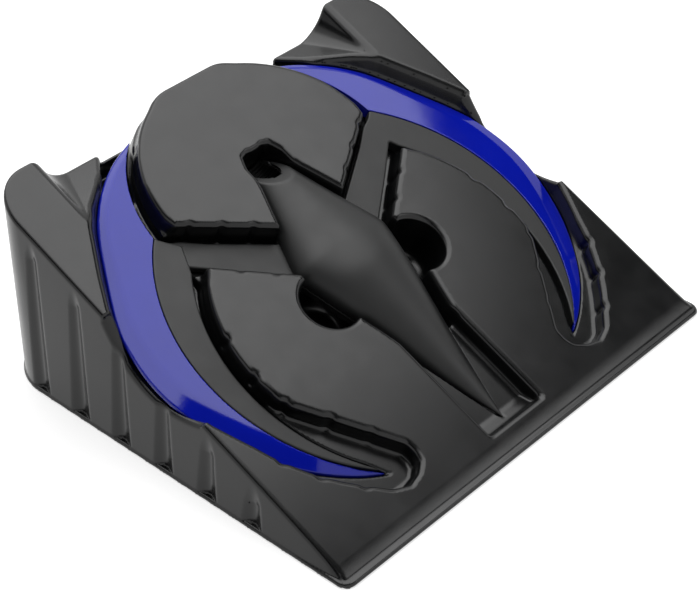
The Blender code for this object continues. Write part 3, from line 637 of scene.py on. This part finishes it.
def sampled(function, low, step, blocks):
    """The function on a grid, worked out only near its surface."""
    axes = [low[a] + step * BLOCK * (np.arange(blocks[a]) + 0.5) for a in range(3)]
    centre = np.meshgrid(*axes, indexing="ij")
    coarse = function(*[c.ravel() for c in centre]).reshape(blocks)
    near = np.abs(coarse) < NEAR_SHARE * BLOCK * step
    value = np.where(coarse < 0, -BEYOND, BEYOND)
    for axis in range(3):
        value = np.repeat(value, BLOCK, axis)
    where = np.argwhere(near)
    inner = np.stack(np.meshgrid(*[np.arange(BLOCK)] * 3, indexing="ij"), -1).reshape(-1, 3)
    index = (where[:, None, :] * BLOCK + inner[None]).reshape(-1, 3)
    place = np.asarray(low) + step * index
    value[index[:, 0], index[:, 1], index[:, 2]] = function(place[:, 0], place[:, 1], place[:, 2])
    return value


def skinned(value):
    """Points and quads of the zero level of a grid, one point in each cell that it crosses."""
    inside = value < 0
    size = np.array(value.shape) - 1
    total = np.zeros(size, np.int8)
    for a, b, c in CORNERS:
        total += inside[a:a + size[0], b:b + size[1], c:c + size[2]]
    cell = np.argwhere((total > 0) & (total < 8))
    number = np.full(size, -1, np.int64)
    number[tuple(cell.T)] = np.arange(len(cell))
    place = np.zeros((len(cell), 3))
    hits = np.zeros(len(cell))
    for p, q in EDGES:
        first = value[tuple((cell + p).T)]
        second = value[tuple((cell + q).T)]
        cross = (first < 0) != (second < 0)
        share = np.where(cross, first / np.where(cross, first - second, 1.0), 0.0)
        place += np.where(cross[:, None], np.array(p) + share[:, None] * (np.array(q) - np.array(p)), 0.0)
        hits += cross
    quads = []
    for axis in range(3):
        a, b = (axis + 1) % 3, (axis + 2) % 3
        here = [slice(None)] * 3
        there = [slice(None)] * 3
        here[axis] = slice(0, -1)
        there[axis] = slice(1, None)
        change = inside[tuple(here)] != inside[tuple(there)]
        node = np.argwhere(change)
        keep = (node[:, a] > 0) & (node[:, a] < size[a]) & (node[:, b] > 0) & (node[:, b] < size[b])
        node = node[keep]
        step_a = np.eye(3, dtype=int)[a]
        step_b = np.eye(3, dtype=int)[b]
        loop = [number[tuple(c.T)] for c in (node - step_a - step_b, node - step_b, node, node - step_a)]
        quad = np.stack(loop, 1)
        flip = ~inside[tuple(node.T)]
        quad[flip] = quad[flip][:, ::-1]
        quads.append(quad)
    return cell + place / hits[:, None], np.concatenate(quads)


def gradient(function, place, reach):
    """Slope of the function at each place."""
    slope = np.empty_like(place)
    for axis in range(3):
        step = np.zeros(3)
        step[axis] = reach
        slope[:, axis] = (function(*(place + step).T) - function(*(place - step).T)) / (2 * reach)
    return slope


def settled(function, place, step):
    """Points moved on to the surface."""
    for _ in range(SETTLE_ROUNDS):
        slope = gradient(function, place, SETTLE_REACH)
        steep = np.maximum((slope ** 2).sum(1), LEAST_STEEP)
        move = slope * (function(*place.T) / steep)[:, None]
        length = np.linalg.norm(move, axis=1)[:, None]
        place = place - move * np.minimum(1.0, MOST_MOVE * step / np.maximum(length, 1e-9))
    return place


def mesh_of(name, function, box, step, mirrored=False):
    """A mesh object of a distance function, in world metres, with normals from the function itself."""
    low = np.array(box[0], float)
    if mirrored:
        low[0] = -step / 2
    blocks = np.ceil((np.array(box[1]) - low) / (step * BLOCK)).astype(int)
    place, quads = skinned(sampled(function, low, step, tuple(blocks)))
    place = low + step * place
    used = np.unique(quads)
    renumber = np.zeros(len(place), np.int64)
    renumber[used] = np.arange(len(used))
    place = settled(function, place[used], step)
    quads = renumber[quads]
    if mirrored:
        middle = place[:, 0] < MIDDLE_SHARE * step
        place[middle, 0] = 0.0
        other = np.arange(len(place))
        other[~middle] = len(place) + np.arange((~middle).sum())
        quads = np.concatenate([quads, other[quads][:, ::-1]])
        place = np.concatenate([place, place[~middle] * (-1.0, 1.0, 1.0)])
    normal = gradient(function, place, NORMAL_REACH)
    normal /= np.maximum(np.linalg.norm(normal, axis=1), 1e-9)[:, None]
    return build_mesh(name, place, quads, normal)


def build_mesh(name, place, quads, normal):
    """A smooth mesh object from face coordinates in millimetres."""
    y, z = to_world(place[:, 1], place[:, 2])
    world = np.stack([place[:, 0], y, z], 1) * MM
    ny = normal[:, 1] * math.cos(SLOPE) - normal[:, 2] * math.sin(SLOPE)
    nz = normal[:, 1] * math.sin(SLOPE) + normal[:, 2] * math.cos(SLOPE)
    mesh = bpy.data.meshes.new(name)
    mesh.vertices.add(len(world))
    mesh.vertices.foreach_set("co", world.astype(np.float32).ravel())
    mesh.loops.add(quads.size)
    mesh.loops.foreach_set("vertex_index", quads.astype(np.int32).ravel())
    mesh.polygons.add(len(quads))
    mesh.polygons.foreach_set("loop_start", np.arange(0, quads.size, 4, dtype=np.int32))
    mesh.update(calc_edges=True)
    mesh.validate()
    mesh.shade_smooth()
    mesh.normals_split_custom_set_from_vertices(np.stack([normal[:, 0], ny, nz], 1).tolist())
    return placed(name, mesh)


def placed(name, data):
    """An object in the scene for a mesh, a lamp or a camera."""
    obj = bpy.data.objects.new(name, data)
    bpy.context.scene.collection.objects.link(obj)
    return obj


# Materials

MOTTLE_SCALE = 22.0
GLOSS_SCALE = 60.0
PLATED_SCALE = 900.0
GRAIN_HIGH = 0.0002


def nodes_of(name):
    """A new node material with its tree and its Principled shader."""
    material = bpy.data.materials.new(name)
    material.use_nodes = True
    tree = material.node_tree
    return material, tree, tree.nodes["Principled BSDF"]


def add(tree, kind, values=None, **settings):
    """A node with its settings and socket values."""
    node = tree.nodes.new(kind)
    for key, value in settings.items():
        setattr(node, key, value)
    for key, value in (values or {}).items():
        node.inputs[key].default_value = value
    return node


def noise(tree, scale, detail, roughness=0.5):
    """Noise in the object's own coordinates."""
    where = add(tree, "ShaderNodeTexCoord")
    made = add(tree, "ShaderNodeTexNoise", {"Scale": scale, "Detail": detail, "Roughness": roughness})
    tree.links.new(where.outputs["Object"], made.inputs["Vector"])
    return made.outputs["Fac"]


def mapped(tree, source, span, first, second):
    """A value mapped from a span to a pair of greys or colours."""
    made = add(tree, "ShaderNodeValToRGB")
    for element, position, color in zip(made.color_ramp.elements, span, (first, second)):
        element.position = position
        element.color = color
    tree.links.new(source, made.inputs["Fac"])
    return made.outputs["Color"]


def grey(value):
    """An opaque grey."""
    return (value, value, value, 1.0)


def moulded(name, dark, light, rough, grain, relief, specular):
    """Plastic with faint mottling, uneven gloss and a fine surface grain."""
    material, tree, shader = nodes_of(name)
    tint = mapped(tree, noise(tree, MOTTLE_SCALE, 4.0), (0.35, 0.7), (*dark, 1.0), (*light, 1.0))
    tree.links.new(tint, shader.inputs["Base Color"])
    gloss = mapped(tree, noise(tree, GLOSS_SCALE, 3.0), (0.3, 0.75), grey(rough[0]), grey(rough[1]))
    tree.links.new(gloss, shader.inputs["Roughness"])
    bump = add(tree, "ShaderNodeBump", {"Strength": relief, "Distance": GRAIN_HIGH})
    tree.links.new(noise(tree, grain, 2.0, 0.6), bump.inputs["Height"])
    tree.links.new(bump.outputs["Normal"], shader.inputs["Normal"])
    shader.inputs["Specular IOR Level"].default_value = specular
    return material


def plated(name):
    """Zinc plated steel with faint mottling and uneven gloss."""
    material, tree, shader = nodes_of(name)
    shader.inputs["Metallic"].default_value = 1.0
    mottle = noise(tree, PLATED_SCALE, 3.0)
    tint = mapped(tree, mottle, (0.3, 0.7), grey(0.46), grey(0.62))
    tree.links.new(tint, shader.inputs["Base Color"])
    gloss = mapped(tree, mottle, (0.3, 0.7), grey(0.28), grey(0.42))
    tree.links.new(gloss, shader.inputs["Roughness"])
    return material


def matte(name, shade, rough):
    """A plain dull grey for the studio, with its tree and shader."""
    material, tree, shader = nodes_of(name)
    shader.inputs["Base Color"].default_value = grey(shade)
    shader.inputs["Roughness"].default_value = rough
    shader.inputs["Specular IOR Level"].default_value = 0.0
    return material, tree, shader


FORMED = moulded("formed_black", dark=(0.0034, 0.0036, 0.0039), light=(0.0055, 0.0058, 0.0061),
                 rough=(0.21, 0.27), grain=1400.0, relief=0.08, specular=0.42)
MOULDED = moulded("moulded_black", dark=(0.0036, 0.0039, 0.004), light=(0.005, 0.0053, 0.0055),
                  rough=(0.44, 0.52), grain=1800.0, relief=0.06, specular=0.5)
LINER = moulded("liner_black", dark=(0.002, 0.002, 0.0021), light=(0.004, 0.004, 0.0042),
                rough=(0.45, 0.55), grain=1600.0, relief=0.1, specular=0.15)
BLUE = moulded("gloss_blue", dark=(0.0035, 0.0105, 0.4), light=(0.004, 0.0125, 0.44),
               rough=(0.04, 0.07), grain=1500.0, relief=0.02, specular=0.38)
STEEL = plated("plated_steel")


# Pieces: the boxes that are sampled, by their lowest and highest (u, v, n), and the grids' steps

RAMP_BOX = ((0.0, -16.0, -140.0), (184.0, 328.0, 5.0))
RAMP_STEP = 1.3
SPINDLE_BOX = ((0.0, 10.0, -42.0), (50.0, 262.0, 14.0))
SPINDLE_STEP = 1.1
SLEEVE_BOX = ((0.0, 194.0, -28.0), (14.0, 252.0, 2.0))
SLEEVE_STEP = 0.6
WING_ACROSS = (10.0, 180.0)
WING_UP = (-22.0, -6.0)
FRAME_ALONG = (20.0, 250.0)
BLADE_ALONG = (20.0, 318.0)
WING_STEP = 0.8


def wing_box(side, along):
    """The box of one wing piece, right or left."""
    across = sorted(side * u for u in WING_ACROSS)
    return tuple(zip(across, along, WING_UP))


def dress(obj, material, node, body):
    """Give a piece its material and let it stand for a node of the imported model."""
    obj.data.materials.clear()
    obj.data.materials.append(material)
    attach(obj, body)
    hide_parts(node)


def build_pieces():
    """Every visible piece of the ramp and of the insert."""
    shell = mesh_of("ramp_skin", Ramp(), RAMP_BOX, RAMP_STEP, True)
    dress(shell, FORMED, "ramp_shell", "ramp")
    for upper, name in ((True, "spindle_upper"), (False, "spindle_lower")):
        part = mesh_of(name + "_fine", spindle_shell(upper), SPINDLE_BOX, SPINDLE_STEP, True)
        dress(part, MOULDED, name + "_shell", "insert")
    liner = mesh_of("socket_sleeve_fine", sleeve, SLEEVE_BOX, SLEEVE_STEP, True)
    dress(liner, LINER, "socket_sleeve", "insert")
    frame_shape = WingFrame()
    blade_shape = Blade()
    for side, tag in ((1, "right"), (-1, "left")):
        band = turned(frame_shape, side)
        part = mesh_of(f"wing_frame_{tag}_fine", band, wing_box(side, FRAME_ALONG), WING_STEP)
        dress(part, MOULDED, f"wing_frame_{tag}", "insert")
        blade = turned(blade_shape, side)
        part = mesh_of(f"blade_{tag}_fine", blade, wing_box(side, BLADE_ALONG), WING_STEP)
        dress(part, BLUE, f"blade_{tag}", "insert")
    for name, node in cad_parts.items():
        if "screw" in name:
            node.data.materials.clear()
            node.data.materials.append(STEEL)


# Studio, in metres

CAMERA_AT = (-0.7993, -0.7191, 0.8553)
CAMERA_TARGET = (-0.0337, -0.0259, 0.0657)
SENSOR_WIDTH = 36.0
PHOTO_WIDTH = 700.0
FOCAL_PIXELS = 2050.0
WORLD_LIGHT = 0.2
FLOOR_REACH = 6.0
FLOOR_DROP = 0.0003
FLOOR_SHADE = 0.72
FLOOR_GLOW = 0.68
LAMP_HIGH = 1.5
TOP_LAMP = (0.45, 0.7)
FRONT_LAMP = (1.3, -1.12)
CARD_HIGH = 1.49
FRONT_CARD = [(-1.2, -0.37), (0.5, -0.37), (0.7, -0.49), (1.7, -0.49), (1.7, -0.75), (0.45, -0.77),
              (0.1, -1.2), (-1.2, -1.2)]
RIGHT_CARD = [(1.7, -0.8, 0.85), (1.7, 0.45, 0.85), (1.36, 0.12, 1.47), (1.16, -0.6, 1.47)]
LEFT_CARD = [(-1.5, -1.2, 0.85), (-1.5, 1.2, 0.85), (-1.5, 1.2, 1.9), (-1.5, -1.2, 1.9)]


def aimed(place, target):
    """The matrix of a lamp or camera at a place, looking at a target."""
    aim = Vector(target) - Vector(place)
    return Matrix.Translation(place) @ aim.to_track_quat("-Z", "Y").to_matrix().to_4x4()


def add_camera():
    """Camera at the photograph's place and angle."""
    data = bpy.data.cameras.new("camera")
    data.sensor_fit = "HORIZONTAL"
    data.sensor_width = SENSOR_WIDTH
    data.lens = SENSOR_WIDTH * FOCAL_PIXELS / PHOTO_WIDTH
    camera = placed("camera", data)
    camera.matrix_world = aimed(CAMERA_AT, CAMERA_TARGET)
    bpy.context.scene.camera = camera


def add_softbox(name, above, size, power):
    """A rectangular soft light that looks straight down from above a place."""
    data = bpy.data.lights.new(name, "AREA")
    data.shape = "RECTANGLE"
    data.size, data.size_y = size
    data.energy = power
    placed(name, data).matrix_world = aimed((*above, LAMP_HIGH), (*above, 0.0))


def shown_rays(tree):
    """1 for rays that show the background: camera, glossy and transmission rays."""
    path = add(tree, "ShaderNodeLightPath")
    first = add(tree, "ShaderNodeMath", operation="MAXIMUM")
    second = add(tree, "ShaderNodeMath", operation="MAXIMUM")
    tree.links.new(path.outputs["Is Camera Ray"], first.inputs[0])
    tree.links.new(path.outputs["Is Glossy Ray"], first.inputs[1])
    tree.links.new(first.outputs[0], second.inputs[0])
    tree.links.new(path.outputs["Is Transmission Ray"], second.inputs[1])
    return second.outputs[0]


def add_sheet(name, corners, material):
    """A flat stage piece with one face."""
    mesh = bpy.data.meshes.new(name)
    mesh.from_pydata(corners, [], [tuple(range(len(corners)))])
    mesh.materials.append(material)
    sheet = placed(name, mesh)
    return sheet


def add_flag(name, corners, material):
    """A dark card beside the light, which only reflections show."""
    flag = add_sheet(name, corners, material)
    flag.visible_camera = False
    flag.visible_diffuse = False
    flag.visible_shadow = False
    flag.visible_transmission = False


def add_world():
    """White surroundings that give the object little light."""
    world = bpy.data.worlds.new("studio")
    bpy.context.scene.world = world
    world.use_nodes = True
    tree = world.node_tree
    tree.nodes.clear()
    out = add(tree, "ShaderNodeOutputWorld")
    dim = add(tree, "ShaderNodeBackground", {"Color": grey(1.0), "Strength": WORLD_LIGHT})
    white = add(tree, "ShaderNodeBackground", {"Color": grey(1.0), "Strength": 1.0})
    mix = add(tree, "ShaderNodeMixShader")
    tree.links.new(shown_rays(tree), mix.inputs["Fac"])
    tree.links.new(dim.outputs[0], mix.inputs[1])
    tree.links.new(white.outputs[0], mix.inputs[2])
    tree.links.new(mix.outputs[0], out.inputs["Surface"])


def add_floor():
    """Pale floor just under the ramp's foot."""
    material, tree, shader = matte("pale_floor", FLOOR_SHADE, 0.9)
    shader.inputs["Emission Color"].default_value = grey(1.0)
    glow = add(tree, "ShaderNodeMath", {1: FLOOR_GLOW}, operation="MULTIPLY")
    tree.links.new(shown_rays(tree), glow.inputs[0])
    tree.links.new(glow.outputs[0], shader.inputs["Emission Strength"])
    square = [(x * FLOOR_REACH, y * FLOOR_REACH, 0.0) for x, y in ((-1, -1), (1, -1), (1, 1), (-1, 1))]
    add_sheet("floor", square, material).location.z = -FLOOR_DROP


def add_lights():
    """Soft light from above, and dark cards that shape its reflections."""
    add_softbox("softbox_top", TOP_LAMP, (1.8, 2.1), 28.0)
    add_softbox("softbox_front", FRONT_LAMP, (1.0, 0.5), 3.2)
    card = matte("black_card", 0.01, 1.0)[0]
    add_flag("flag_right", RIGHT_CARD, card)
    add_flag("flag_front", [(x, y, CARD_HIGH) for x, y in FRONT_CARD], card)
    add_flag("flag_left", LEFT_CARD, card)


bpy.context.scene.view_settings.view_transform = "Standard"
add_camera()
build_pieces()
add_world()
add_floor()
add_lights()
bpy.context.view_layer.update()
